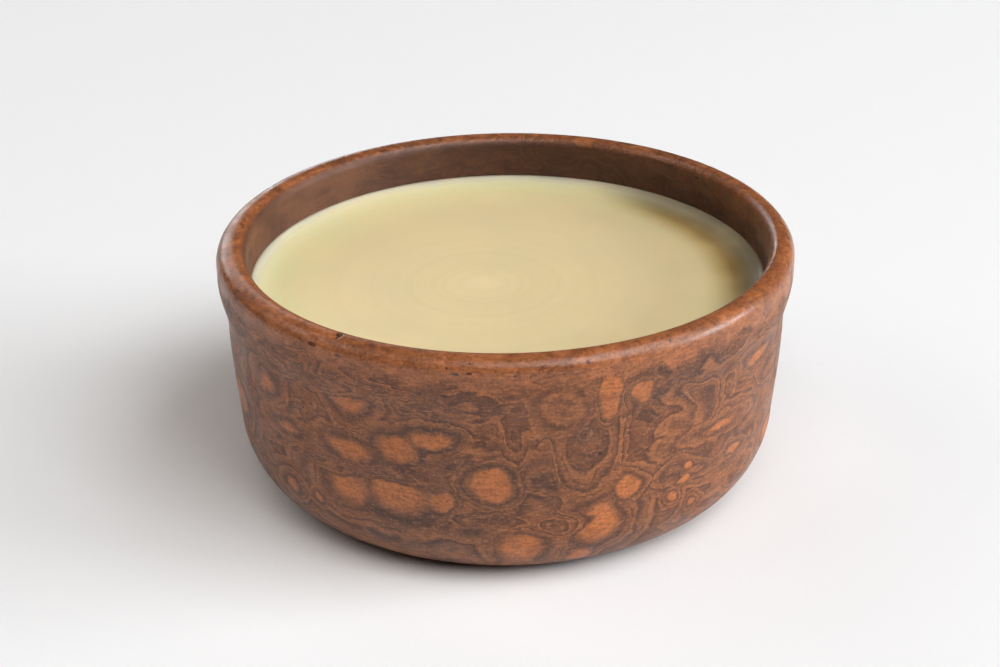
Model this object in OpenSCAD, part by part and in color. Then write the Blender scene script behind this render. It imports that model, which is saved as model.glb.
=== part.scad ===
// Turned wooden shaving bowl with a cake of soap poured into it.
// The bowl is one block of burl wood, turned inside and out. The soap sets against its wall.
// Millimetres, +Z up, origin on the table under the middle of the foot.

/* [Bowl] */
// Outer diameter across the lip
bowl_d = 105; // [95:1:130]
// Height from the table to the top of the rim
bowl_h = 46; // [42:0.5:60]
// Thickness of the wall at the rim
rim_wall = 5; // [5:0.25:7]
// Radius of the rim's outer edge
edge_out = 2.6; // [1:0.1:2.7]
// Radius of the rim's inner edge
edge_in = 2.2; // [0.6:0.1:2.3]

/* [Lip and wall] */
// How far the lip stands out past the neck below it
lip_out = 1.4; // [0.2:0.1:2]
// Depth below the rim at which the lip starts to draw in
lip_h = 5.5; // [4:0.5:8]
// Height over which the lip draws in to the neck
lip_blend = 8; // [3:0.5:10]
// How far the belly lies inside the neck, where the bottom corner begins
belly_in = 1.2; // [0:0.1:3]

/* [Foot] */
// Height of the rounded bottom corner
corner_h = 14; // [10:0.5:18]
// Width of the rounded bottom corner, from the foot out to the belly
corner_w = 12.5; // [8:0.5:15]
// Width of the flat ring that the bowl stands on
foot_ring = 5; // [3:0.5:8]
// Depth of the recess inside the foot ring
recess = 1.3; // [0.5:0.1:2.5]

/* [Cavity] */
// Thickness of the wood under the cavity
floor_t = 7.5; // [5:0.5:10]
// Radius between the cavity's floor and its wall
fillet = 12; // [6:0.5:15]
// Slope of the cavity's wall, in degrees from upright
taper = 4; // [2:0.5:6]

/* [Soap] */
// Depth of the soap's face below the rim
soap_down = 9.4; // [7:0.1:14]
// How far the soap's edge climbs the wall
climb = 1.2; // [0.4:0.1:2]
// Width of the soap's climbing edge
climb_w = 7; // [2:0.5:8]

/* [Hidden] */
$fn = 96;

arc_step = 7.5;
wall_steps = 5;
lip_steps = 6;
climb_steps = 5;

rim_r = bowl_d / 2;
neck_r = rim_r - lip_out;
belly_r = neck_r - belly_in;
foot_r = belly_r - corner_w;
lip_z = bowl_h - lip_h;
neck_z = lip_z - lip_blend;

mouth_r = rim_r - rim_wall;
mouth_z = bowl_h - edge_in;
fillet_z = floor_t + fillet;
fillet_r = wall_r(fillet_z) - fillet / cos(taper);

soap_z = bowl_h - soap_down;
soap_edge_z = soap_z + climb;

// Radius of the cavity's straight wall at a height
function wall_r(z) = mouth_r - (mouth_z - z) * tan(taper);

// Points along part of an ellipse, as radius and height
function arc(middle, half, from, to) =
    let (steps = ceil(abs(to - from) / arc_step))
    [for (i = [0:steps])
        let (a = from + (to - from) * i / steps)
        [middle.x + half.x * cos(a), middle.y + half.y * sin(a)]];

// Outside of the bowl, from the foot ring up to the lip
function outside() = concat(
    arc([foot_r, corner_h], [corner_w, corner_h], -90, 0),
    [for (i = [1:wall_steps])
        let (t = i / wall_steps)
        [belly_r + belly_in * sin(90 * t), corner_h + (neck_z - corner_h) * t]],
    [for (i = [1:lip_steps])
        let (t = i / lip_steps)
        [neck_r + lip_out * (1 - cos(180 * t)) / 2, neck_z + lip_blend * t]]);

// Rounded rim, from the lip over to the mouth of the cavity
function rim() = concat(
    arc([rim_r - edge_out, bowl_h - edge_out], [edge_out, edge_out], 0, 90),
    arc([mouth_r + edge_in, bowl_h - edge_in], [edge_in, edge_in], 90, 180));

// Bottom corner of the cavity, from its wall round to its floor
function cavity_corner() = arc([fillet_r, fillet_z], [fillet, fillet], -taper, -90);

// Edge of the soap, from where it leaves the flat face out to the wall
function soap_edge() =
    [for (i = [0:climb_steps])
        let (t = i / climb_steps)
        [wall_r(soap_edge_z) - climb_w * (1 - t), soap_z + climb * t * t]];

// Recess under the foot, with a sloping side, from the axis out to the foot ring
function foot_recess() = [
    [0, recess],
    [foot_r - foot_ring - 2 * recess, recess],
    [foot_r - foot_ring, 0]];

module bowl() {
    color([0.52, 0.34, 0.23])
        rotate_extrude()
            polygon(concat(foot_recess(), outside(), rim(), cavity_corner(), [[0, floor_t]]));
}

module soap() {
    color([0.88, 0.81, 0.64])
        rotate_extrude()
            polygon(concat([[0, soap_z]], soap_edge(), cavity_corner(), [[0, floor_t]]));
}

bowl();
soap();
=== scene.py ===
"""A turned burl-wood shaving bowl with a cake of soap poured into it.

The bowl and its soap are spun from their outlines, roughened by hand work, and dressed with
solid burl and poured-soap finishes. A plain pale studio stands round them.
"""

import logging
import math
from collections.abc import Callable, Sequence
from dataclasses import dataclass, field
from enum import Enum

import bmesh
import bpy
from mathutils import Matrix, Vector, noise
from mathutils.kdtree import KDTree


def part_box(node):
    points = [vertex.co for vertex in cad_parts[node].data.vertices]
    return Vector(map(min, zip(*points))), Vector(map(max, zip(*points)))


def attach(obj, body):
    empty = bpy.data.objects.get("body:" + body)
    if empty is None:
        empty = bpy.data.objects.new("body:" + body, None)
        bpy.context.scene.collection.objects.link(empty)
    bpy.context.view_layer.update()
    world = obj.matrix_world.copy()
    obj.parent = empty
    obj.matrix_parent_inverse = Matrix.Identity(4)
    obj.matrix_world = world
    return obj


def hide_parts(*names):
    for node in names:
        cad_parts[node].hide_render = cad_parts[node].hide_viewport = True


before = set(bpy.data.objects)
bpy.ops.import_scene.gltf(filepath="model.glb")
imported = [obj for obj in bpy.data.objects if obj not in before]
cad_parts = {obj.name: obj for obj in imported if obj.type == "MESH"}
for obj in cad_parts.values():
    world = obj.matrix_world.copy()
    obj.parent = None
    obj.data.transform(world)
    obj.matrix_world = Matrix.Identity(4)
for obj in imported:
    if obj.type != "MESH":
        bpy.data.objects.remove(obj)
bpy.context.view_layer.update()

MM = 0.001

log = logging.getLogger("shaving_bowl")

Socket = bpy.types.NodeSocket
Feed = Socket | float | tuple[float, ...]
Colour = tuple[float, float, float, float]
Pair = tuple[float, float]
Outline = list[Pair]


class Node(Enum):
    """The CAD nodes that the pieces stand for."""

    BOWL = "bowl"
    SOAP = "soap"


class Slot(Enum):
    """The record's material slots."""

    BURL = "burl_wood"
    SOAP = "shaving_soap"


class Grain(Enum):
    """How closely an outline's points are set, in metres."""

    EDGE = 0.4 * MM
    FINE = 0.65 * MM
    HIDDEN = 5 * MM


class Gel(Enum):
    """The colours of the lamps' light."""

    WHITE = (1.0, 1.0, 1.0)
    COOL = (0.97, 1.0, 1.03)
    PEACH = (1.0, 0.95, 0.91)
    AMBER = (1.0, 0.93, 0.88)


def paint(red: float, green: float, blue: float) -> Colour:
    """Turns a colour card's 0 to 255 values into the shader's linear colour.

    Args:
        red: Red on the card.
        green: Green on the card.
        blue: Blue on the card.

    Returns:
        The linear colour with full cover.
    """

    def linear(card: float) -> float:
        """Undoes the card's gamma for one channel."""
        share = card / 255
        return share / 12.92 if share <= 0.04045 else ((share + 0.055) / 1.055) ** 2.4

    return linear(red), linear(green), linear(blue), 1.0


def smooth(share: float) -> float:
    """Eases a share from 0 to 1, held flat outside."""
    held = min(1.0, max(0.0, share))
    return held * held * (3 - 2 * held)


# ---------------------------------------------------------------------------
# Turning: outlines in radius and height, spun into closed solids
# ---------------------------------------------------------------------------


def arc(middle: Pair, half: Pair, start: float, end: float, grain: Grain) -> Outline:
    """Lays points along part of an ellipse.

    Args:
        middle: Radius and height of the ellipse's middle.
        half: Half its width and half its height.
        start: First angle in degrees, counted from outwards towards up.
        end: Last angle in degrees.
        grain: How closely the points are set.

    Returns:
        The points as radius and height.
    """
    length = math.radians(abs(end - start)) * max(half)
    steps = max(3, math.ceil(length / grain.value))
    angles = (math.radians(start + (end - start) * i / steps) for i in range(steps + 1))
    return [(middle[0] + half[0] * math.cos(a), middle[1] + half[1] * math.sin(a)) for a in angles]


def run(path: Callable[[float], Pair], length: float, grain: Grain) -> Outline:
    """Lays points along a path whose first point is already there.

    Args:
        path: Gives radius and height at a share of the way.
        length: About how long the path is.
        grain: How closely the points are set.

    Returns:
        The points after the path's first one.
    """
    steps = max(2, math.ceil(length / grain.value))
    return [path(i / steps) for i in range(1, steps + 1)]


def spin_solid(outline: Outline, turns: int) -> bmesh.types.BMesh:
    """Spins an outline that starts and ends on the axis into a closed solid.

    Args:
        outline: Points as radius and height, from one end of the axis round to the other.
        turns: Steps in the full turn.

    Returns:
        The solid, with poles closed and faces outwards.
    """
    bm = bmesh.new()
    points = [bm.verts.new((radius, 0, height)) for radius, height in outline]
    edges = [bm.edges.new(pair) for pair in zip(points, points[1:])]
    bmesh.ops.spin(
        bm,
        geom=points + edges,
        cent=(0, 0, 0),
        axis=(0, 0, 1),
        dvec=(0, 0, 0),
        angle=math.tau,
        steps=turns,
        use_merge=True,
        use_duplicate=False,
    )
    poles = [vert for vert in bm.verts if math.hypot(vert.co.x, vert.co.y) < 0.01 * MM]
    bmesh.ops.remove_doubles(bm, verts=poles, dist=0.02 * MM)
    bmesh.ops.recalc_face_normals(bm, faces=bm.faces)
    bm.normal_update()
    return bm


def finish_mesh(bm: bmesh.types.BMesh, name: str) -> bpy.types.Object:
    """Turns a bmesh into a smooth-shaded object at the origin.

    Args:
        bm: The solid, freed afterwards.
        name: The piece's name.

    Returns:
        The new object.
    """
    mesh = bpy.data.meshes.new(name)
    for face in bm.faces:
        face.smooth = True
    bm.to_mesh(mesh)
    bm.free()
    piece = bpy.data.objects.new(name, mesh)
    bpy.context.scene.collection.objects.link(piece)
    return piece


# ---------------------------------------------------------------------------
# Bench: lays shader nodes and joins them
# ---------------------------------------------------------------------------


class Bench:
    """A material in the making, with short calls for the nodes that the finishes use."""

    def __init__(self, name: str) -> None:
        """Starts an empty material.

        Args:
            name: The material's name.
        """
        self.material = bpy.data.materials.new(name)
        self.material.use_nodes = True
        self.tree = self.material.node_tree
        self.tree.nodes.clear()

    def lay(self, kind: str, feeds: dict[str | int, Feed], **settings: object) -> bpy.types.Node:
        """Adds a node, sets it up and joins its inputs.

        Args:
            kind: The node's type, without the leading ShaderNode.
            feeds: What goes into each input, by name or number.
            settings: Properties of the node itself.

        Returns:
            The new node.
        """
        node = self.tree.nodes.new("ShaderNode" + kind)
        for key, value in settings.items():
            setattr(node, key, value)
        for key, value in feeds.items():
            if isinstance(value, Socket):
                self.tree.links.new(value, node.inputs[key])
            else:
                node.inputs[key].default_value = value
        return node

    def place(self) -> Socket:
        """Gives the point on the piece, in millimetres of its own frame."""
        return self.scale(self.lay("TexCoord", {}).outputs["Object"], 1 / MM)

    def number(self, operation: str, *values: Feed) -> Socket:
        """Does arithmetic on numbers."""
        return self.lay("Math", dict(enumerate(values)), operation=operation).outputs[0]

    def vector(self, operation: str, first: Feed, second: Feed) -> Socket:
        """Does arithmetic on vectors."""
        return self.lay("VectorMath", {0: first, 1: second}, operation=operation).outputs["Vector"]

    def scale(self, value: Socket, factor: float) -> Socket:
        """Scales a vector evenly."""
        return self.lay("VectorMath", {0: value, "Scale": factor}, operation="SCALE").outputs["Vector"]

    def length(self, value: Socket) -> Socket:
        """Gives a vector's length."""
        return self.lay("VectorMath", {0: value}, operation="LENGTH").outputs["Value"]

    def dot(self, value: Socket, direction: tuple[float, float, float]) -> Socket:
        """Gives how far a vector goes in a direction."""
        return self.lay("VectorMath", {0: value, 1: direction}, operation="DOT_PRODUCT").outputs["Value"]

    def part(self, value: Socket, axis: str) -> Socket:
        """Gives a vector's X, Y or Z."""
        return self.lay("SeparateXYZ", {0: value}).outputs[axis]

    def squash(self, point: Socket, times: float) -> Socket:
        """Scales only the height, so that a pattern is that many times flatter, or upright at 0."""
        return self.vector("MULTIPLY", point, (1, 1, times))

    def fit(self, value: Socket, span: Pair, to: Pair = (0, 1), ease: bool = True) -> Socket:
        """Maps a span of a value onto another span and holds it there.

        Args:
            value: The value to map.
            span: Where the change starts and where it ends, which may be the lower of the two.
            to: What the start and the end become.
            ease: Whether the change is eased at both ends.

        Returns:
            The mapped value.
        """
        feeds = {"Value": value, 1: span[0], 2: span[1], 3: to[0], 4: to[1]}
        shape = "SMOOTHSTEP" if ease else "LINEAR"
        return self.lay("MapRange", feeds, interpolation_type=shape).outputs[0]

    def noise(self, point: Socket, size: float, detail: float = 1, rough: float = 0.5,
              colour: bool = False) -> Socket:
        """Gives soft noise.

        Args:
            point: The point in millimetres.
            size: Size of its lumps in millimetres.
            detail: How finely they break up.
            rough: How strong the finest of them are.
            colour: Whether it gives three noises as a colour.

        Returns:
            The noise, from 0 to 1.
        """
        feeds = {"Vector": point, "Scale": 1 / size, "Detail": detail, "Roughness": rough}
        return self.lay("TexNoise", feeds).outputs["Color" if colour else "Fac"]

    def patches(self, point: Socket, size: float, span: Pair, to: Pair = (0, 1),
                detail: float = 1) -> Socket:
        """Gives soft patches, by mapping a span of a noise's levels.

        Args:
            point: The point in millimetres.
            size: Size of the patches in millimetres.
            span: Levels at which the change from one patch to the next starts and ends.
            to: What those levels become.
            detail: How finely the patches break up.

        Returns:
            The mapped level.
        """
        return self.fit(self.noise(point, size, detail), span, to)

    def stir(self, point: Socket, size: float, reach: float, detail: float = 1) -> Socket:
        """Gives a soft push in each direction.

        Args:
            point: The point in millimetres.
            size: Size of the lumps in millimetres.
            reach: How far the push goes at most, in millimetres.
            detail: How finely the lumps break up.

        Returns:
            The push.
        """
        lumps = self.noise(point, size, detail, colour=True)
        centred = self.vector("SUBTRACT", lumps, (0.5, 0.5, 0.5))
        return self.scale(centred, reach * 2)

    def unroll(self, point: Socket, radius: float) -> Socket:
        """Lays a round wall out flat.

        Args:
            point: The point in millimetres.
            radius: The wall's radius in millimetres.

        Returns:
            Distance round the wall from its front, and height.
        """
        parts = self.lay("SeparateXYZ", {0: point}).outputs
        turn = self.number("ARCTAN2", parts["X"], self.number("MULTIPLY", parts["Y"], -1.0))
        feeds = {0: self.number("MULTIPLY", turn, radius), 1: parts["Z"]}
        return self.lay("CombineXYZ", feeds).outputs[0]

    def reach(self, point: Socket, middle: Pair, half: Pair) -> Socket:
        """Measures how far a point on the unrolled wall is from a middle.

        Args:
            point: The point on the unrolled wall, in millimetres.
            middle: The middle on the unrolled wall.
            half: Half the width and half the height that count as 1.

        Returns:
            The distance in half widths.
        """
        offset = self.vector("SUBTRACT", point, (*middle, 0))
        return self.length(self.vector("MULTIPLY", offset, (1 / half[0], 1 / half[1], 0)))

    def mix(self, share: Feed, first: Feed, second: Feed) -> Socket:
        """Blends two numbers by a share."""
        feeds = {0: share, 2: first, 3: second}
        return self.lay("Mix", feeds, data_type="FLOAT").outputs[0]

    def tint(self, share: Feed, first: Feed, second: Feed) -> Socket:
        """Blends two colours by a share."""
        feeds = {0: share, 6: first, 7: second}
        return self.lay("Mix", feeds, data_type="RGBA").outputs[2]

    def ramp(self, value: Socket, stops: Sequence[tuple[float, Colour]]) -> Socket:
        """Gives a colour for each level of a value.

        Args:
            value: The level, from 0 to 1.
            stops: Level and colour pairs in rising order.

        Returns:
            The colour.
        """
        node = self.lay("ValToRGB", {"Fac": value})
        elements = node.color_ramp.elements
        while len(elements) < len(stops):
            elements.new(0.5)
        for element, (level, colour) in zip(elements, stops):
            element.position = level
            element.color = colour
        return node.outputs["Color"]

    def bump(self, height: Socket, strength: float, depth: float) -> Socket:
        """Tilts the surface by a height, whose full value is a depth in millimetres."""
        feeds = {"Height": height, "Strength": strength, "Distance": depth * MM}
        return self.lay("Bump", feeds).outputs["Normal"]

    def surface(self, **feeds: Feed) -> bpy.types.Material:
        """Ends the material with a principled surface.

        Args:
            feeds: The shader's inputs, with underscores for spaces.

        Returns:
            The finished material.
        """
        named = {key.replace("_", " "): value for key, value in feeds.items()}
        shader = self.lay("BsdfPrincipled", named)
        self.lay("OutputMaterial", {"Surface": shader.outputs["BSDF"]})
        return self.material


# ---------------------------------------------------------------------------
# Marks in the wood
# ---------------------------------------------------------------------------


@dataclass(frozen=True)
class Spot:
    """A place on the bowl's outside.

    Attributes:
        angle: Degrees round the bowl from its front, to the right.
        height: Height above the table in millimetres.
    """

    angle: float
    height: float

    def unrolled(self, radius: float) -> Pair:
        """Gives the place on the unrolled wall, in millimetres."""
        return math.radians(self.angle) * radius, self.height

    def middle(self, radius: float) -> Vector:
        """Gives the place in metres, on a wall of the given radius in millimetres."""
        turn = math.radians(self.angle)
        return Vector((radius * math.sin(turn), -radius * math.cos(turn), self.height)) * MM


@dataclass(frozen=True)
class Eye(Spot):
    """One bud in the burl, which the growth layers close round, or a hollow between buds.

    Attributes:
        across: Half its width in millimetres.
        up: Half its height in millimetres.
        crest: Layer at its middle, where 1 is the palest wood and 0 the darkest.
        fall: How far the layers fall over the first half width outwards, or rise if below 0.
        bend: 1 for an even fall, more for one that steepens outwards.
        own: Half widths within which nothing else shows, or 0 if others show through.
        soft: How softly it joins the layers that show through.
        fade: How many times own it has faded out at.
    """

    across: float
    up: float
    crest: float
    fall: float
    bend: float = 1.0
    own: float = 0.0
    soft: float = 0.05
    fade: float = 1.35

    def shape(self, bench: Bench, point: Socket, level: Socket, radius: float) -> Socket:
        """Folds the growth layers round the eye.

        Args:
            bench: The material in the making.
            point: The point on the unrolled wall.
            level: The growth layer so far.
            radius: The wall's radius in millimetres.

        Returns:
            The growth layer with the eye in it.
        """
        reach = bench.reach(point, self.unrolled(radius), (self.across, self.up))
        curved = reach if self.bend == 1 else bench.number("POWER", reach, self.bend)
        fold = bench.number("MULTIPLY_ADD", curved, -self.fall, self.crest)
        if self.own:
            return bench.mix(bench.fit(reach, (self.own * self.fade, self.own)), level, fold)
        return bench.number("SMOOTH_MAX" if self.fall > 0 else "SMOOTH_MIN", level, fold, self.soft)


@dataclass(frozen=True)
class Knot(Spot):
    """A small round knot with tight rings.

    Attributes:
        size: The radius in millimetres that its rings are measured in.
        pace: How quickly one ring follows the other.
        halo: Colour of the wood round it.
        ring: Colour of its rings.
        pith: Colour of its heart.
    """

    size: float
    pace: float = 7.0
    halo: Colour = paint(84, 52, 40)
    ring: Colour = paint(140, 94, 70)
    pith: Colour = paint(46, 27, 20)

    def draw(self, bench: Bench, point: Socket, colour: Socket, radius: float) -> Socket:
        """Draws the knot over the wood.

        Args:
            bench: The material in the making.
            point: The point on the unrolled wall.
            colour: The wood's colour so far.
            radius: The wall's radius in millimetres.

        Returns:
            The colour with the knot in it.
        """
        reach = bench.reach(point, self.unrolled(radius), (self.size, self.size))
        wave = bench.number("SINE", bench.number("MULTIPLY", reach, self.pace))
        fade = bench.fit(reach, (2.2, 0.7), (0, 0.75))
        rings = bench.number("MULTIPLY", bench.fit(wave, (-0.5, 0.6)), fade)
        colour = bench.tint(bench.fit(reach, (2.6, 1.5), (0, 0.6)), colour, self.halo)
        colour = bench.tint(rings, colour, self.ring)
        return bench.tint(bench.fit(reach, (0.5, 0.3), (0, 0.85)), colour, self.pith)


@dataclass(frozen=True)
class Pit(Spot):
    """A small hole or chip in the wood.

    Attributes:
        size: Its radius in millimetres.
        depth: Its depth in millimetres.
        flat: How many times wider than high it is.
        spread: How many times its radius the dent round it reaches.
    """

    size: float
    depth: float
    flat: float = 1.0
    spread: float = 1.5

    def shade(self, bench: Bench, point: Socket, radius: float) -> Socket:
        """Gives 1 in the pit and 0 beside it, on the unrolled wall."""
        reach = bench.reach(point, self.unrolled(radius), (self.size * self.flat, self.size))
        return bench.fit(reach, (1.2, 0.6))

    def dent(self, bm: bmesh.types.BMesh, finder: KDTree, radius: float) -> None:
        """Presses the pit into a mesh.

        Args:
            bm: The mesh, whose normals are right.
            finder: Finds the mesh's points by place.
            radius: The wall's radius in millimetres.
        """
        middle = finder.find(self.middle(radius))[0]
        edge = self.size * self.spread * MM
        for spot, index, _ in finder.find_range(middle, edge * self.flat):
            offset = spot - middle
            away = math.hypot(math.hypot(offset.x, offset.y) / self.flat, offset.z) / edge
            vert = bm.verts[index]
            vert.co -= vert.normal * self.depth * MM * smooth(1 - away)


@dataclass(frozen=True)
class Specks:
    """Small spots scattered in drifts.

    Attributes:
        spacing: Distance between spots in millimetres.
        size: A spot's radius as a share of the spacing.
        cover: Level of the drift noise above which spots show.
    """

    spacing: float
    size: float
    cover: float

    def scatter(self, bench: Bench, point: Socket) -> Socket:
        """Scatters the spots.

        Args:
            bench: The material in the making.
            point: The point in millimetres.

        Returns:
            1 in a spot and 0 beside it.
        """
        squat = bench.squash(point, 1.5)
        cells = bench.lay("TexVoronoi", {"Vector": squat, "Scale": 1 / self.spacing})
        spots = bench.fit(cells.outputs["Distance"], (self.size * 1.5, self.size * 0.7))
        drifts = bench.patches(squat, self.spacing * 7, (self.cover, self.cover + 0.12), detail=2)
        return bench.number("MULTIPLY", spots, drifts)


@dataclass(frozen=True)
class Streaks:
    """Fine darker and paler streaks in the wood.

    Attributes:
        size: Their length in millimetres.
        detail: How finely they break up.
        rough: How strong the finest of them are.
        dark: Colour of the dark ones.
        dark_end: Level at which the dark ones end.
        dark_cover: How fully they cover at most.
        pale: Colour of the pale ones.
        pale_full: Level at which the pale ones cover most.
        pale_cover: How fully they cover at most.
        squash: How many times longer than high they are.
        shift: How far the pattern is moved forwards, in millimetres.
        dark_full: Level at which the dark ones cover most.
        pale_start: Level at which the pale ones start.
    """

    size: float
    detail: float
    rough: float
    dark: Colour
    dark_end: float
    dark_cover: float
    pale: Colour
    pale_full: float
    pale_cover: float
    squash: float = 1.0
    shift: float = 0.0
    dark_full: float = 0.3
    pale_start: float = 0.54

    def level(self, bench: Bench, place: Socket) -> Socket:
        """Gives the streaks' level, low in a dark one and high in a pale one."""
        moved = bench.vector("ADD", place, (0, self.shift, 0))
        return bench.noise(bench.squash(moved, self.squash), self.size, self.detail, self.rough)

    def stain(self, bench: Bench, level: Socket, colour: Socket) -> Socket:
        """Stains the wood with the streaks.

        Args:
            bench: The material in the making.
            level: The streaks' level.
            colour: The wood's colour so far.

        Returns:
            The stained colour.
        """
        darkened = bench.fit(level, (self.dark_full, self.dark_end), (self.dark_cover, 0))
        colour = bench.tint(darkened, colour, self.dark)
        paled = bench.fit(level, (self.pale_start, self.pale_full), (0, self.pale_cover))
        return bench.tint(paled, colour, self.pale)


FRONT_EYES = (
    Eye(-12.5, 18.0, 1.9, 1.8, 1.00, 0.19),
    Eye(-14.5, 30.2, 3.2, 1.5, 1.00, 0.19),
    Eye(-21.0, 27.3, 2.9, 2.2, 1.00, 0.19),
    Eye(-31.5, 25.2, 4.0, 1.8, 0.95, 0.16),
    Eye(-30.5, 35.5, 2.1, 2.2, 1.00, 0.15),
    Eye(-32.5, 17.2, 3.6, 2.9, 0.90, 0.13),
    Eye(-21.5, 18.2, 4.6, 3.3, 0.92, 0.13),
    Eye(2.5, 8.5, 3.2, 2.6, 1.00, 0.19),
    Eye(15.0, 5.4, 1.8, 1.5, 0.97, 0.16),
    Eye(17.5, 12.5, 3.1, 3.1, 1.00, 0.18),
    Eye(23.5, 18.8, 2.1, 1.8, 1.05, 0.24),
    Eye(37.5, 19.4, 1.2, 0.7, 1.05, 0.3),
    Eye(37.0, 17.0, 1.9, 0.8, 1.05, 0.3),
    Eye(34.5, 14.2, 1.5, 1.2, 1.00, 0.3),
    Eye(40.0, 11.0, 1.5, 1.2, 1.00, 0.3),
    Eye(46.0, 24.5, 6.0, 1.5, 0.90, 0.2),
    Eye(58.0, 34.0, 5.0, 1.8, 0.90, 0.18),
    Eye(52.0, 17.5, 3.0, 1.2, 0.93, 0.24),
    Eye(-54.0, 31.0, 3.4, 2.4, 0.90, 0.18),
    Eye(-48.0, 24.5, 4.6, 1.6, 0.86, 0.16),
    Eye(-49.0, 12.0, 2.6, 2.0, 0.90, 0.2),
    Eye(-41.0, 12.0, 2.0, 1.6, 0.90, 0.24),
    Eye(-9.5, 25.2, 6.0, 1.8, 0.72, 0.1),
    Eye(1.0, 26.4, 4.6, 1.6, 0.74, 0.1),
    Eye(-7.0, 12.0, 4.4, 1.4, 0.74, 0.12),
)
REAR_EYES = (
    Eye(-71.0, 21.0, 3.4, 2.6, 1.00, 0.19),
    Eye(-78.0, 33.0, 4.4, 1.8, 0.95, 0.18),
    Eye(-92.0, 14.0, 2.4, 2.2, 1.00, 0.19),
    Eye(-101.0, 27.0, 5.0, 2.2, 0.95, 0.17),
    Eye(-117.0, 19.0, 3.2, 3.0, 1.00, 0.18),
    Eye(-129.0, 33.5, 2.6, 2.2, 1.00, 0.19),
    Eye(-148.0, 22.0, 4.2, 2.6, 0.95, 0.17),
    Eye(-158.0, 11.0, 2.8, 2.4, 1.00, 0.19),
    Eye(160.0, 28.0, 3.4, 3.0, 1.00, 0.18),
    Eye(143.0, 15.0, 2.8, 2.4, 1.00, 0.19),
    Eye(128.0, 30.0, 4.6, 1.8, 0.95, 0.18),
    Eye(113.0, 20.5, 3.4, 2.8, 1.00, 0.18),
    Eye(97.0, 10.0, 2.6, 2.2, 1.00, 0.19),
    Eye(84.0, 26.0, 3.6, 2.4, 0.95, 0.18),
    Eye(71.0, 13.0, 2.6, 2.0, 1.00, 0.2),
)
REAR_HOLLOWS = (
    Eye(-85.0, 24.0, 4.0, 0.9, 0.10, -0.28),
    Eye(-138.0, 13.0, 4.0, 1.2, 0.08, -0.28),
    Eye(172.0, 36.0, 5.0, 1.0, 0.08, -0.28),
    Eye(118.0, 36.5, 4.0, 1.0, 0.10, -0.28),
    Eye(103.0, 30.0, 2.4, 2.2, 0.16, -0.2),
)
FRONT_HOLLOWS = (
    Eye(2.0, 36.8, 2.8, 1.3, 0.03, -0.26),
    Eye(1.5, 31.4, 1.5, 2.6, 0.06, -0.26),
    Eye(-17.0, 40.8, 8.0, 0.9, 0.06, -0.3),
    Eye(-1.5, 14.6, 4.4, 0.9, 0.05, -0.28),
    Eye(9.0, 13.4, 2.4, 1.2, 0.08, -0.26),
    Eye(24.5, 30.2, 4.6, 2.2, 0.22, -0.15),
    Eye(32.0, 37.6, 4.8, 0.9, 0.10, -0.26),
    Eye(25.5, 26.2, 3.4, 0.7, 0.08, -0.3),
    Eye(48.0, 31.8, 1.7, 2.4, 0.12, -0.26),
    Eye(-12.0, 36.4, 7.0, 0.7, 0.10, -0.3),
    Eye(-26.0, 38.4, 5.0, 0.7, 0.12, -0.3),
    Eye(-40.0, 37.0, 6.0, 1.1, 0.10, -0.28),
    Eye(-42.0, 20.5, 5.0, 1.0, 0.10, -0.28),
    Eye(-27.0, 21.6, 6.0, 0.7, 0.10, -0.3),
)
BANDED_HOLLOW = Eye(14.8, 30.8, 3.7, 7.3, 0.20, -0.14, bend=2.0, own=1.6)
CLEAR_EYES = (
    Eye(10.2, 36.4, 4.2, 3.8, 0.62, 0.09, bend=2.0, own=1.3),
    Eye(18.8, 38.0, 1.7, 4.4, 1.00, 0.19, bend=1.6, own=1.2),
    Eye(25.5, 37.6, 1.9, 2.2, 1.00, 0.19, bend=1.6, own=1.1),
    Eye(-3.0, 21.8, 3.3, 2.9, 1.00, 0.19, bend=1.3, own=1.6),
)
PITS = (
    Pit(17.5, 26.8, 0.42, 0.35),
    Pit(14.5, 44.6, 0.34, 0.3),
    Pit(1.5, 43.2, 0.28, 0.3),
    Pit(-9.0, 43.3, 0.3, 0.3, 2.4),
    Pit(-10.5, 44.2, 0.22, 0.3),
    Pit(-11.0, 39.2, 0.24, 0.25, 1.8),
    Pit(-37.5, 43.8, 0.36, 0.45, 2.6),
    Pit(-31.5, 43.2, 0.32, 0.4, 2.4),
    Pit(-33.0, 45.6, 0.3, 0.35, 2.2),
    Pit(-6.5, 43.6, 0.25, 0.25, 2.0),
    Pit(31.0, 45.2, 0.25, 0.25),
    Pit(74.0, 42.4, 0.35, 0.35, 2.0),
    Pit(128.0, 43.9, 0.4, 0.4, 2.2),
    Pit(171.0, 38.6, 0.4, 0.35),
    Pit(-118.0, 44.1, 0.4, 0.4, 2.2),
    Pit(-96.0, 29.5, 0.4, 0.35),
)


# ---------------------------------------------------------------------------
# Finishes
# ---------------------------------------------------------------------------


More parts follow.
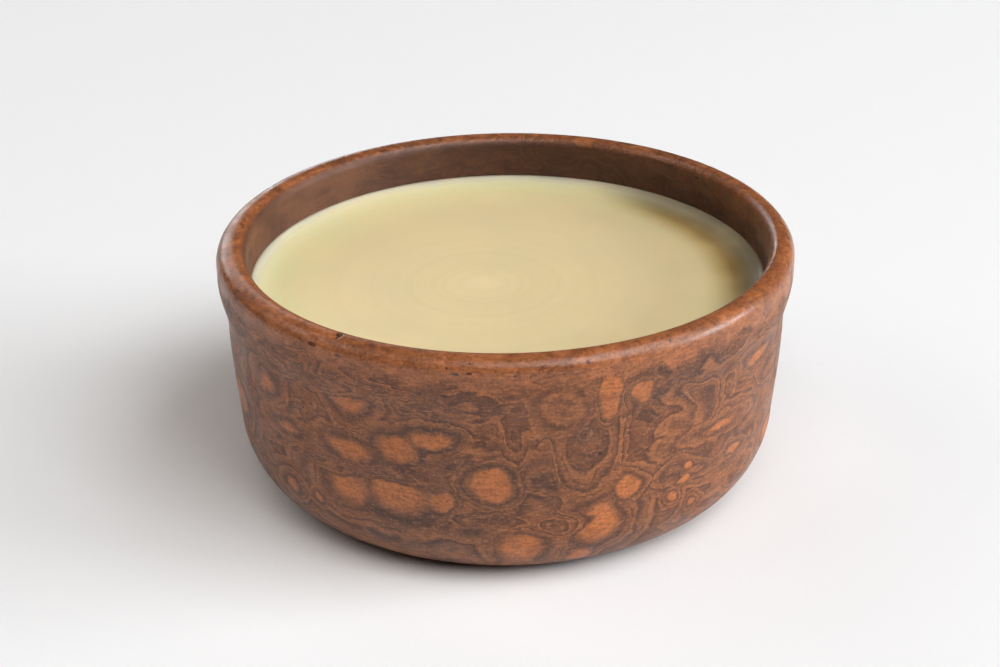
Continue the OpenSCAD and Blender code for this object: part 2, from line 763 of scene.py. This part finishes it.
@dataclass(frozen=True)
class BurlFinish:
    """Waxed burl: growth layers nested round eyes, with lines, pores, flecks and fibre.

    The eyes were buds that grew outwards, so each keeps its outline through the wall. Lengths
    are in millimetres.

    Attributes:
        wall_radius: Radius of the outside, at which it is unrolled.
        band_height: Height at which the rim's calmer wood begins.
        bore_radius: Radius of the bore at the soap.
        bore_span: Lowest and highest height of the bore's plain wood.
        roughness: Roughness of the wax, about which it varies.
    """

    wall_radius: float = 50.4
    band_height: float = 41.4
    bore_radius: float = 47.9
    bore_span: Pair = (30.0, 45.6)
    roughness: float = 0.45
    deep: Colour = paint(56, 30, 18)
    line: Colour = paint(58, 31, 18)
    dusk: Colour = paint(94, 54, 32)
    brown: Colour = paint(136, 82, 47)
    tan: Colour = paint(160, 97, 54)
    heart: Colour = paint(198, 114, 56)
    grey_drift: Colour = paint(110, 74, 56)
    warm_drift: Colour = paint(176, 98, 48)
    band_dark: Colour = paint(152, 90, 54)
    band_pale: Colour = paint(176, 105, 62)
    bore_dark: Colour = paint(74, 42, 26)
    bore_pale: Colour = paint(96, 58, 36)
    painted_bore_shade: Colour = paint(44, 23, 13)
    pore: Colour = paint(40, 24, 18)
    fleck: Colour = paint(206, 174, 150)
    mottle: Streaks = Streaks(
        3.2, 3, 0.6, dark=paint(94, 54, 32), dark_end=0.54, dark_cover=0.42,
        pale=paint(172, 108, 66), pale_full=0.72, pale_cover=0.35, squash=1.6)
    fibre: Streaks = Streaks(
        1.6, 4, 0.65, dark=paint(52, 30, 21), dark_end=0.62, dark_cover=0.4,
        pale=paint(196, 130, 88), pale_full=0.74, pale_cover=0.35, squash=4)
    dust: Streaks = Streaks(
        0.5, 2, 0.6, dark=paint(58, 34, 24), dark_end=0.5, dark_cover=0.4,
        pale=paint(190, 128, 92), pale_full=0.74, pale_cover=0.3, shift=30)
    small_pores: Specks = Specks(0.8, 0.16, 0.5)
    large_pores: Specks = Specks(2.6, 0.07, 0.4)
    flecks: Specks = Specks(1.9, 0.08, 0.6)
    eyes: tuple[Eye, ...] = (
        *FRONT_EYES, *REAR_EYES, *REAR_HOLLOWS, *FRONT_HOLLOWS, BANDED_HOLLOW, *CLEAR_EYES)
    knot: Knot = Knot(14.5, 30.9, 1.0)
    pits: tuple[Pit, ...] = PITS

    def layers(self, bench: Bench, place: Socket, flat: Socket) -> Socket:
        """Works out which growth layer each point lies in.

        Args:
            bench: The material in the making.
            place: The point in millimetres.
            flat: The point on the unrolled wall.

        Returns:
            The layer, from 0 in the darkest hollow to 1 in the heart of an eye.
        """
        crinkle = bench.stir(place, 1.7, reach=0.3)
        rolled = bench.vector("ADD", bench.vector("ADD", place, bench.stir(place, 12, reach=4.0)), crinkle)
        calm = bench.noise(bench.squash(rolled, 1.9), 14, detail=1.6, rough=0.45)
        drawn = bench.noise(bench.squash(rolled, 4.0), 15, detail=2.4, rough=0.55)
        left = bench.fit(bench.part(place, "X"), (3, -18), (0.1, 0.85))
        level = bench.fit(bench.mix(left, calm, drawn), (0.3, 0.7), (0.02, 0.78), ease=False)
        nudged = bench.vector("ADD", flat, bench.stir(place, 4.5, reach=1.4, detail=1.5))
        nudged = bench.vector("ADD", nudged, crinkle)
        for eye in self.eyes:
            level = eye.shape(bench, nudged, level, self.wall_radius)
        return level

    def colours(self, bench: Bench, place: Socket, level: Socket) -> Socket:
        """Colours the growth layers, with dark lines between them that come and go.

        Args:
            bench: The material in the making.
            place: The point in millimetres.
            level: The growth layer.

        Returns:
            The wood's colour.
        """
        plain = bench.ramp(level, (
            (0.00, self.deep), (0.12, self.dusk), (0.34, self.brown), (0.56, self.tan),
            (0.66, self.brown), (0.76, self.tan), (0.83, self.heart), (1.00, self.heart),
        ))
        lined = bench.ramp(level, (
            (0.00, self.deep), (0.10, self.dusk), (0.165, self.line), (0.20, self.brown),
            (0.30, self.dusk), (0.34, self.line), (0.37, self.tan), (0.45, self.brown),
            (0.51, self.dusk), (0.535, self.line), (0.565, self.tan), (0.63, self.brown),
            (0.69, self.dusk), (0.725, self.line), (0.77, self.brown), (0.83, self.heart),
            (1.00, self.heart),
        ))
        strength = bench.patches(place, 9, (0.32, 0.48), (0.6, 1.0), detail=1.5)
        return bench.tint(strength, plain, lined)

    def threads(self, bench: Bench, place: Socket, level: Socket) -> Socket:
        """Finds the thin dark threads between the layers, in patches outside the eyes' hearts.

        Args:
            bench: The material in the making.
            place: The point in millimetres.
            level: The growth layer.

        Returns:
            How fully a thread covers each point.
        """
        waver = bench.patches(place, 3, (0, 1), (0, 0.05), detail=2)
        fold = bench.number("PINGPONG", bench.number("ADD", level, waver), 0.045)
        thread = bench.number("MULTIPLY", bench.fit(fold, (0.02, 0.004)), bench.fit(level, (0.8, 0.72)))
        patchy = bench.patches(bench.squash(place, 2), 8, (0.4, 0.58), (0, 0.72))
        return bench.number("MULTIPLY", thread, patchy)

    def drift(self, bench: Bench, place: Socket, colour: Socket) -> Socket:
        """Lets the block drift between a greyer and a warmer brown.

        Args:
            bench: The material in the making.
            place: The point in millimetres.
            colour: The wood's colour so far.

        Returns:
            The drifting colour.
        """
        greyer = bench.tint(0.16, colour, self.grey_drift)
        warmer = bench.tint(0.16, colour, self.warm_drift)
        return bench.tint(bench.patches(place, 26, (0.36, 0.64)), greyer, warmer)

    def rim_share(self, bench: Bench, place: Socket) -> Socket:
        """Tells which wood belongs to the rim, above a wavering line.

        Args:
            bench: The material in the making.
            place: The point in millimetres.

        Returns:
            1 on the rim and 0 below it.
        """
        swayed = bench.vector("ADD", place, bench.stir(place, 7, reach=3.0))
        return bench.fit(bench.part(swayed, "Z"), (self.band_height - 0.7, self.band_height + 0.9))

    def rim_band(self, bench: Bench, place: Socket, rim: Socket, colour: Socket) -> Socket:
        """Lays calmer, paler wood along the rim, weaker at the back.

        Args:
            bench: The material in the making.
            place: The point in millimetres.
            rim: 1 on the rim and 0 below it.
            colour: The wood's colour so far.

        Returns:
            The colour with the band on it.
        """
        patchy = bench.patches(bench.squash(place, 0.6), 6, (0.36, 0.5), (0.4, 0.85), detail=2)
        rear = bench.fit(bench.part(place, "Y"), (8, 36), (1, 0.4))
        cover = bench.number("MULTIPLY", bench.number("MULTIPLY", rim, rear), patchy)
        tone = bench.patches(place, 4, (0.35, 0.65), detail=3)
        return bench.tint(cover, colour, bench.tint(tone, self.band_dark, self.band_pale))

    def holes(self, bench: Bench, ruffled: Socket, flat: Socket) -> Socket:
        """Finds the pores, and the pits on the outside.

        Args:
            bench: The material in the making.
            ruffled: The point in millimetres, pushed about a little.
            flat: The point on the unrolled wall.

        Returns:
            1 in a hole and 0 beside it.
        """
        small = self.small_pores.scatter(bench, ruffled)
        holes = bench.number("MAXIMUM", small, self.large_pores.scatter(bench, ruffled))
        for pit in self.pits:
            holes = bench.number("MAXIMUM", holes, pit.shade(bench, flat, self.wall_radius))
        return holes

    def bore_share(self, bench: Bench, place: Socket) -> Socket:
        """Tells which wood belongs to the bore, from the soap's edge up to the rim.

        Args:
            bench: The material in the making.
            place: The point in millimetres.

        Returns:
            How far each point belongs to the bore.
        """
        low, high = self.bore_span
        reach = bench.length(bench.squash(place, 0))
        height = bench.part(place, "Z")
        inward = bench.fit(reach, (self.bore_radius + 0.8, self.bore_radius - 0.4), (0, 0.86))
        under_rim = bench.fit(height, (high, high - 1.2))
        over_soap = bench.fit(height, (low, low + 3))
        return bench.number("MULTIPLY", inward, bench.number("MULTIPLY", under_rim, over_soap))

    def bore_tone_and_painted_shade(self, bench: Bench, place: Socket) -> Socket:
        """Colours the bore's plain wood, with painted shade deepest at the back right.

        Args:
            bench: The material in the making.
            place: The point in millimetres.

        Returns:
            The bore's colour.
        """
        shade = bench.patches(bench.squash(place, 2), 12, (0.36, 0.64), detail=2)
        cut = bench.tint(shade, self.bore_dark, self.bore_pale)
        # Painted shade: darker towards the back right, where the rim shades the bore.
        rear = bench.fit(bench.dot(place, (0.35, 1, 0)), (22, 46), (0, 0.6))
        return bench.tint(rear, cut, self.painted_bore_shade)

    def dullness(self, bench: Bench, place: Socket, rim: Socket, bore: Socket) -> Socket:
        """Works out how dull the wax is, patchy, smoother on the rim and rougher in the bore.

        Args:
            bench: The material in the making.
            place: The point in millimetres.
            rim: 1 on the rim and 0 below it.
            bore: How far each point belongs to the bore.

        Returns:
            The roughness.
        """
        span = (self.roughness - 0.07, self.roughness + 0.08)
        wax = bench.patches(place, 5, (0.3, 0.7), span, detail=3)
        handled = bench.number("SUBTRACT", wax, bench.number("MULTIPLY", rim, 0.12))
        return bench.number("ADD", handled, bench.number("MULTIPLY", bore, 0.3))

    def make(self) -> bpy.types.Material:
        """Builds the burl material."""
        bench = Bench("waxed_burl")
        place = bench.place()
        flat = bench.unroll(place, self.wall_radius)
        ruffle = bench.stir(place, 2.2, reach=0.5)
        rim = self.rim_share(bench, place)
        bore = self.bore_share(bench, place)
        fibre = self.fibre.level(bench, place)
        holes = self.holes(bench, bench.vector("ADD", place, ruffle), flat)

        level = self.layers(bench, place, flat)
        colour = self.colours(bench, place, level)
        colour = bench.tint(self.threads(bench, place, level), colour, self.line)
        colour = self.mottle.stain(bench, self.mottle.level(bench, place), colour)
        colour = self.drift(bench, place, colour)
        colour = self.knot.draw(bench, bench.vector("ADD", flat, ruffle), colour, self.wall_radius)
        colour = self.rim_band(bench, place, rim, colour)
        colour = self.fibre.stain(bench, fibre, colour)
        colour = self.dust.stain(bench, self.dust.level(bench, place), colour)
        colour = bench.tint(bench.number("MULTIPLY", holes, 0.78), colour, self.pore)
        flecks = self.flecks.scatter(bench, bench.vector("ADD", place, (40, 0, 0)))
        colour = bench.tint(bench.number("MULTIPLY", flecks, 0.6), colour, self.fleck)
        # The bore gets its own darker tone, with painted shade at the back right.
        colour = bench.tint(bore, colour, self.bore_tone_and_painted_shade(bench, place))

        grain = bench.noise(place, 0.9, detail=3, rough=0.7)
        relief = bench.number("SUBTRACT", bench.number("ADD", fibre, grain), holes)
        return bench.surface(
            Base_Color=colour,
            Roughness=self.dullness(bench, place, rim, bore),
            Normal=bench.bump(relief, strength=0.55, depth=0.05),
            Specular_IOR_Level=0.48,
        )


@dataclass(frozen=True)
class SoapFinish:
    """Poured shaving soap: matte cream with faint turned rings and a waxy, clearer edge, painted darker on
    its right with the shadow of the bowl's wall and painted with a pale sheen round the rest of the edge.

    Lengths are in millimetres.

    Attributes:
        edge_radius: Radius of the soap's edge.
        offset: How far the soap's middle lies to the right.
        whorl: The whorl's place, to the right and back.
        painted_shadow_side: Degrees from the right at which the painted shadow of the bowl's wall on the
            edge is strongest.
        roughness: Roughness of the face.
        edge_roughness: Roughness of the edge.
    """

    edge_radius: float = 47.1
    offset: float = 0.45
    whorl: Pair = (-4.0, -3.0)
    painted_shadow_side: float = 18.0
    roughness: float = 0.5
    edge_roughness: float = 0.26
    cream: Colour = paint(221, 202, 155)
    cloud: Colour = paint(240, 214, 160)
    ring: Colour = paint(208, 182, 136)
    heart: Colour = paint(238, 218, 172)
    speck: Colour = paint(200, 180, 140)

    def edge_with_painted_sheen(self, bench: Bench, out: Socket) -> Socket:
        """Colours the soap from its middle, 0, to its edge, 1, away from the painted shadow: yellower
        towards the edge, then a painted sheen of pale grey at the very edge.
        """
        return bench.ramp(out, (
            (0.00, self.cream),
            (0.35, paint(223, 208, 158)),
            (0.65, paint(224, 216, 163)),
            (0.84, paint(220, 214, 170)),
            # These last stops are painted sheen, the edge mirroring its surroundings.
            (0.93, paint(208, 203, 178)),
            (1.00, paint(176, 168, 150)),
        ))

    def edge_in_painted_shadow(self, bench: Bench, out: Socket) -> Socket:
        """Colours the soap from its middle, 0, to its edge, 1, on the side of the painted shadow: the
        wall's shadow painted in olive brown, then a painted reflection in grey at the very edge.
        """
        return bench.ramp(out, (
            (0.00, self.cream),
            (0.22, paint(212, 195, 146)),
            (0.45, paint(176, 150, 92)),
            (0.62, paint(138, 108, 56)),
            (0.76, paint(132, 117, 82)),
            (0.88, paint(150, 142, 118)),
            (1.00, paint(136, 126, 106)),
        ))

    def painted_shadow_share(self, bench: Bench, flat: Socket) -> Socket:
        """Tells where the painted shadow of the wall lies, from 0 to 1 towards its side."""
        toward = math.radians(self.painted_shadow_side)
        return bench.fit(bench.dot(flat, (math.cos(toward), math.sin(toward), 0)), (26, 41))

    def pour(self, bench: Bench, place: Socket, colour: Socket) -> Socket:
        """Draws the faint rings of the pour round a paler heart.

        Args:
            bench: The material in the making.
            place: The point in millimetres.
            colour: The soap's colour so far.

        Returns:
            The colour with the rings in it.
        """
        swirled = bench.vector("ADD", place, bench.stir(place, 9, reach=1.4))
        turned = bench.length(bench.squash(bench.vector("SUBTRACT", swirled, (*self.whorl, 0)), 0))
        wave = bench.noise(bench.lay("CombineXYZ", {0: turned}).outputs[0], 2.4, detail=3, rough=0.6)
        fade = bench.fit(turned, (34, 6), (0.25, 1.0))
        rings = bench.number("MULTIPLY", bench.fit(wave, (0.36, 0.64)), fade)
        colour = bench.tint(bench.number("MULTIPLY", rings, 0.22), colour, self.ring)
        return bench.tint(bench.fit(turned, (7, 1), (0, 0.35)), colour, self.heart)

    def make(self) -> bpy.types.Material:
        """Builds the soap material."""
        bench = Bench("poured_soap")
        place = bench.place()
        flat = bench.squash(bench.vector("SUBTRACT", place, (self.offset, 0, 0)), 0)
        reach = bench.length(bench.vector("ADD", flat, bench.stir(place, 14, reach=0.8)))
        out = bench.fit(reach, (self.edge_radius - 14, self.edge_radius), ease=False)
        # Painted light: towards the right the edge is painted with the wall's shadow and a grey
        # reflection, elsewhere with a painted pale sheen.
        colour = bench.tint(self.painted_shadow_share(bench, flat), self.edge_with_painted_sheen(bench, out), self.edge_in_painted_shadow(bench, out))
        clouds = bench.patches(place, 17, (0.35, 0.65), (0, 0.22), detail=2)
        colour = bench.tint(clouds, colour, self.cloud)
        colour = self.pour(bench, place, colour)
        grain = bench.noise(place, 0.7, detail=3, rough=0.6)
        colour = bench.tint(bench.fit(grain, (0.3, 0.7), (0.05, 0)), colour, self.speck)
        waxy = (self.edge_radius - 5, self.edge_radius - 1.2)
        return bench.surface(
            Base_Color=colour,
            Roughness=bench.fit(reach, waxy, (self.roughness, self.edge_roughness)),
            Normal=bench.bump(grain, strength=0.25, depth=0.03),
            Subsurface_Weight=0.35,
            Subsurface_Radius=(1.0, 0.75, 0.4),
            Subsurface_Scale=2.2 * MM,
        )


@dataclass(frozen=True)
class FloorFinish:
    """Pale matte board."""

    board: Colour = paint(238, 238, 238)
    roughness: float = 0.9

    def make(self) -> bpy.types.Material:
        """Builds the floor material."""
        bench = Bench("pale_board")
        normal = bench.bump(bench.noise(bench.place(), 1.5, detail=4, rough=0.6), strength=0.15, depth=0.3)
        return bench.surface(Base_Color=self.board, Roughness=self.roughness, Normal=normal)


# ---------------------------------------------------------------------------
# Pieces
# ---------------------------------------------------------------------------


@dataclass
class BurlBowl:
    """The turned wooden bowl, cut from one block.

    Sizes are in metres. The lip's radius and the height come from the frame.
    """

    rim_radius: float
    height: float
    wall: float = 5 * MM
    edge_out: float = 2.6 * MM
    edge_in: float = 2.2 * MM
    lip_out: float = 1.4 * MM
    lip_height: float = 5.5 * MM
    lip_blend: float = 8 * MM
    belly_in: float = 1.2 * MM
    corner_height: float = 14 * MM
    corner_width: float = 12.5 * MM
    foot_ring: float = 5 * MM
    recess: float = 1.3 * MM
    floor: float = 7.5 * MM
    fillet: float = 12 * MM
    taper: float = 4.0
    turns: int = 640
    bore_shift: float = 0.45 * MM
    rim_dip: float = 0.5 * MM
    wobble: float = 0.14 * MM
    wobble_sizes: Pair = (22 * MM, 7 * MM)
    tool_marks: float = 0.025 * MM
    tool_pitch: float = 0.9 * MM
    hidden_wall: float = 2 * MM
    finish: BurlFinish = field(default_factory=BurlFinish)

    @property
    def mouth_radius(self) -> float:
        """Radius of the cavity's mouth."""
        return self.rim_radius - self.wall

    @property
    def mouth_height(self) -> float:
        """Height at which the rim's inner edge meets the cavity's wall."""
        return self.height - self.edge_in

    @property
    def corner_middle(self) -> Pair:
        """Radius and height of the middle of the cavity's bottom corner."""
        height = self.floor + self.fillet
        return self.wall_radius(height) - self.fillet / math.cos(math.radians(self.taper)), height

    def wall_radius(self, height: float) -> float:
        """Radius of the cavity's wall at a height."""
        return self.mouth_radius - (self.mouth_height - height) * math.tan(math.radians(self.taper))

    def on_wall(self, height: float) -> Pair:
        """Gives the point on the cavity's wall at a height."""
        return self.wall_radius(height), height

    def foot(self) -> Outline:
        """Lays the underside, from the axis out to the foot ring."""
        ring_in = self.rim_radius - self.lip_out - self.belly_in - self.corner_width - self.foot_ring
        flat_end = ring_in - 2 * self.recess
        slope = ring_in - flat_end
        return [
            (0, self.recess),
            *run(lambda t: (flat_end * t, self.recess), flat_end, Grain.HIDDEN),
            *run(lambda t: (flat_end + slope * t, self.recess * (1 - smooth(t))), slope, Grain.FINE),
        ]

    def outside(self) -> Outline:
        """Lays the outside, from the foot ring up over the lip."""
        neck = self.rim_radius - self.lip_out
        belly = neck - self.belly_in
        foot = belly - self.corner_width
        lip_start = self.height - self.lip_height
        neck_height = lip_start - self.lip_blend
        rise = neck_height - self.corner_height
        corner = arc((foot, self.corner_height), (self.corner_width, self.corner_height),
                     -90, 0, Grain.FINE)
        side = run(lambda t: (belly + self.belly_in * math.sin(math.pi / 2 * t),
                              self.corner_height + rise * t), rise, Grain.FINE)
        lip = run(lambda t: (neck + self.lip_out * smooth(t), neck_height + self.lip_blend * t),
                  self.lip_blend, Grain.FINE)
        return corner + side + lip

    def rim(self) -> Outline:
        """Lays the rounded rim, from the lip over to the mouth of the cavity."""
        outer = arc((self.rim_radius - self.edge_out, self.height - self.edge_out),
                    (self.edge_out, self.edge_out), 0, 90, Grain.EDGE)
        inner = arc((self.mouth_radius + self.edge_in, self.mouth_height),
                    (self.edge_in, self.edge_in), 90, 180, Grain.EDGE)
        return outer + inner

    def cavity(self, soap_edge: float) -> Outline:
        """Lays the cavity, closely down to the soap and loosely under it.

        Args:
            soap_edge: Height of the soap's edge on the wall.

        Returns:
            The points from the mouth down to the axis.
        """
        shown = self.mouth_height - soap_edge + self.hidden_wall
        wall = run(lambda t: self.on_wall(self.mouth_height - shown * t), shown, Grain.FINE)
        corner = arc(self.corner_middle, (self.fillet, self.fillet), -self.taper, -90, Grain.HIDDEN)
        return wall + corner + [(0, self.floor)]

    def bore_share(self, reach: float, height: float) -> float:
        """Tells how far a point belongs to the bore, from 0 on the outside to 1 inside.

        Args:
            reach: The point's radius.
            height: The point's height.

        Returns:
            The share, eased over the rim.
        """
        if height <= self.mouth_height + 0.01 * MM:
            return float(height > self.floor - 0.01 * MM and reach < self.wall_radius(height) + 0.3 * MM)
        return smooth((self.rim_radius - self.edge_out - reach) / (self.wall - self.edge_out))

    def unevenness(self, spot: Vector) -> float:
        """Gives how far the outside lies inside a true turning, from wobble and tool marks.

        Args:
            spot: The point on the outside.

        Returns:
            The distance inwards.
        """
        wide, narrow = self.wobble_sizes
        swell = noise.noise(spot / wide) * 0.7 + noise.noise(spot / narrow) * 0.3
        turn = math.atan2(spot.y, spot.x)
        marks = noise.noise(Vector((spot.z / self.tool_pitch, turn * 1.5, 0)))
        return self.wobble * (0.5 + 0.5 * swell) + self.tool_marks * (1 + marks)

    def dent_pits(self, bm: bmesh.types.BMesh) -> None:
        """Presses the pits into the outside.

        Args:
            bm: The spun bowl, whose normals are right.
        """
        finder = KDTree(len(bm.verts))
        for index, vert in enumerate(bm.verts):
            finder.insert(vert.co, index)
        finder.balance()
        bm.verts.ensure_lookup_table()
        for pit in self.finish.pits:
            pit.dent(bm, finder, self.finish.wall_radius)

    def work_by_hand(self, bm: bmesh.types.BMesh) -> None:
        """Sets the bore a little off the middle, dips the rim and makes the outside uneven.

        Args:
            bm: The spun bowl.
        """
        for vert in bm.verts:
            spot = vert.co
            reach = math.hypot(spot.x, spot.y)
            if reach < 1 * MM:
                continue
            share = self.bore_share(reach, spot.z)
            lift = smooth(spot.z / self.height * 2 - 1)
            settled = smooth(spot.z / (2 * MM)) * (1 - share)
            inward = self.unevenness(spot) * settled
            spot.x -= spot.x / reach * inward
            spot.y -= spot.y / reach * inward
            spot.z -= lift * self.rim_dip * (1 - spot.x / reach) / 2
            spot.x += self.bore_shift * share

    def build(self, soap_edge: float) -> bpy.types.Object:
        """Spins the bowl, works it by hand and dresses it.

        Args:
            soap_edge: Height of the soap's edge on the wall.

        Returns:
            The bowl, riding on its body.
        """
        outline = self.foot() + self.outside() + self.rim() + self.cavity(soap_edge)
        bm = spin_solid(outline, self.turns)
        self.dent_pits(bm)
        self.work_by_hand(bm)
        piece = finish_mesh(bm, "turned_bowl")
        piece.data.materials.append(self.finish.make())
        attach(piece, "root")
        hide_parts(Node.BOWL.value)
        return piece


@dataclass
class SoapCake:
    """The soap, poured into the bowl and set against its wall.

    Sizes are in metres. The edge's radius and height come from the frame.
    """

    edge_radius: float
    edge_height: float
    bowl: BurlBowl
    climb: float = 1.2 * MM
    climb_width: float = 7 * MM
    bite: float = 0.15 * MM
    ripple: float = 0.035 * MM
    turns: int = 400
    finish: SoapFinish = field(default_factory=SoapFinish)

    @property
    def face(self) -> float:
        """Height of the soap's flat face."""
        return self.edge_height - self.climb

    def outline(self) -> Outline:
        """Lays the soap from the bottom of the axis round to the top of it."""
        bowl = self.bowl
        face_radius = self.edge_radius - self.climb_width
        corner = arc(bowl.corner_middle, (bowl.fillet, bowl.fillet), -90, -bowl.taper, Grain.HIDDEN)
        side = [(self.edge_radius + self.bite, self.edge_height)]
        slope = run(lambda t: (self.edge_radius - self.climb_width * t,
                               self.face + self.climb * (1 - t) ** 3), self.climb_width, Grain.EDGE)
        top = run(lambda t: (face_radius * (1 - t), self.face), face_radius, Grain.FINE)
        return [(0, bowl.floor)] + corner + side + slope + top

    def relief(self, spot: Vector) -> float:
        """Gives the height of the rings, the whorl and the swell left by the pour.

        Args:
            spot: The point on the soap's face.

        Returns:
            The height above the flat face.
        """
        middle_x, middle_y = (value * MM for value in self.finish.whorl)
        calm = smooth((self.edge_radius - math.hypot(spot.x, spot.y)) / (6 * MM))
        reach = math.hypot(spot.x - middle_x, spot.y - middle_y) / MM
        turn = math.atan2(spot.y - middle_y, spot.x - middle_x)
        rings = noise.noise(Vector((reach / 1.7, 0, 0))) * smooth(1.3 - reach / 40)
        whorl = math.cos(2 * turn - reach * 0.9) * smooth(1.6 - reach / 7) * smooth(reach / 2) * 0.9
        swell = noise.noise(spot / (13 * MM)) * 1.5
        return self.ripple * calm * (rings + whorl + swell)

    def settle(self, bm: bmesh.types.BMesh) -> None:
        """Ripples the face and moves the soap with the bore off the middle.

        Args:
            bm: The spun soap.
        """
        for vert in bm.verts:
            if vert.co.z > self.face - 0.01 * MM:
                vert.co.z += self.relief(vert.co)
            vert.co.x += self.bowl.bore_shift

    def build(self) -> bpy.types.Object:
        """Spins the soap and dresses it."""
        bm = spin_solid(self.outline(), self.turns)
        self.settle(bm)
        piece = finish_mesh(bm, "soap_cake")
        piece.data.materials.append(self.finish.make())
        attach(piece, "root")
        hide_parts(Node.SOAP.value)
        return piece


# ---------------------------------------------------------------------------
# Studio
# ---------------------------------------------------------------------------


@dataclass(frozen=True)
class Softbox:
    """A soft lamp that faces the bowl.

    Attributes:
        name: The lamp's name.
        azimuth: Degrees round from the right, towards the back.
        elevation: Degrees above the floor.
        width: Width in metres.
        height: Height in metres.
        power: Power in watts.
        gel: Colour of its light.
        distance: Distance from the bowl in metres.
    """

    name: str
    azimuth: float
    elevation: float
    width: float
    height: float
    power: float
    gel: Gel
    distance: float = 3.0

    def hang(self) -> None:
        """Hangs the lamp in its place."""
        lamp = bpy.data.lights.new(self.name, "AREA")
        lamp.shape = "RECTANGLE"
        lamp.size = self.width
        lamp.size_y = self.height
        lamp.energy = self.power
        lamp.color = self.gel.value
        box = bpy.data.objects.new(self.name, lamp)
        up = math.radians(self.elevation)
        side = math.radians(self.azimuth)
        away = Vector((math.cos(up) * math.cos(side), math.cos(up) * math.sin(side), math.sin(up)))
        box.location = away * self.distance
        box.rotation_euler = away.to_track_quat("Z", "Y").to_euler()
        bpy.context.scene.collection.objects.link(box)


@dataclass
class Studio:
    """A pale floor, softboxes, dim white surroundings and the camera.

    Sizes are in metres and angles in degrees.
    """

    floor_size: float = 8.0
    sky: tuple[float, float, float] = (1.0, 1.0, 1.0)
    sky_strength: float = 0.01
    lamps: tuple[Softbox, ...] = (
        Softbox("front_key", -48, 44, 1.5, 1.3, 25, Gel.COOL),
        Softbox("key", -16, 54, 1.6, 1.7, 31, Gel.COOL),
        Softbox("low_right", -4, 18, 1.6, 0.9, 68, Gel.COOL),
        Softbox("high_front", -80, 60, 2.2, 2.2, 34, Gel.PEACH),
        Softbox("left", 180, 42, 2.4, 1.4, 17, Gel.AMBER),
        Softbox("back", 112, 14, 1.6, 0.8, 16, Gel.WHITE),
    )
    camera_distance: float = 375.4 * MM
    camera_elevation: float = 29.85
    camera_aim: tuple[float, float, float] = (-1.1 * MM, 0.0, 24.8 * MM)
    camera_roll: float = -0.6
    lens: float = 70.0

    def lay_floor(self) -> None:
        """Lays the floor under the foot."""
        bm = bmesh.new()
        bmesh.ops.create_grid(bm, x_segments=1, y_segments=1, size=self.floor_size / 2)
        floor = finish_mesh(bm, "floor")
        floor.data.materials.append(FloorFinish().make())

    def light(self) -> None:
        """Sets the white surroundings and hangs the lamps."""
        world = bpy.data.worlds.new("surroundings")
        world.use_nodes = True
        background = world.node_tree.nodes["Background"]
        background.inputs["Color"].default_value = (*self.sky, 1)
        background.inputs["Strength"].default_value = self.sky_strength
        bpy.context.scene.world = world
        for lamp in self.lamps:
            lamp.hang()

    def set_camera(self) -> None:
        """Stands the camera in front of the bowl, looking down at it."""
        data = bpy.data.cameras.new("camera")
        data.lens = self.lens
        data.clip_start = 10 * MM
        camera = bpy.data.objects.new("camera", data)
        up = math.radians(self.camera_elevation)
        camera.location = (0, -self.camera_distance * math.cos(up), self.camera_distance * math.sin(up))
        look = camera.location - Vector(self.camera_aim)
        roll = Matrix.Rotation(math.radians(self.camera_roll), 4, "Z")
        camera.rotation_euler = (look.to_track_quat("Z", "Y").to_matrix().to_4x4() @ roll).to_euler()
        bpy.context.scene.collection.objects.link(camera)
        bpy.context.scene.camera = camera

    def set_up(self) -> None:
        """Sets up the camera, the light and the floor."""
        bpy.context.scene.view_settings.view_transform = "Standard"
        self.set_camera()
        self.light()
        self.lay_floor()


def main() -> None:
    """Sets up the studio, builds the bowl and the soap to the frame's sizes, and logs their face counts.
    """
    logging.basicConfig(level=logging.INFO, format="%(name)s: %(message)s")
    Studio().set_up()
    low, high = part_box(Node.BOWL.value)
    soap_low, soap_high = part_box(Node.SOAP.value)
    bowl = BurlBowl(rim_radius=(high[0] - low[0]) / 2, height=high[2] - low[2])
    soap = SoapCake(edge_radius=(soap_high[0] - soap_low[0]) / 2, edge_height=soap_high[2], bowl=bowl)
    for piece in (bowl.build(soap.edge_height), soap.build()):
        log.info("%s: %d faces", piece.name, len(piece.data.polygons))


if __name__ == "__main__":
    main()
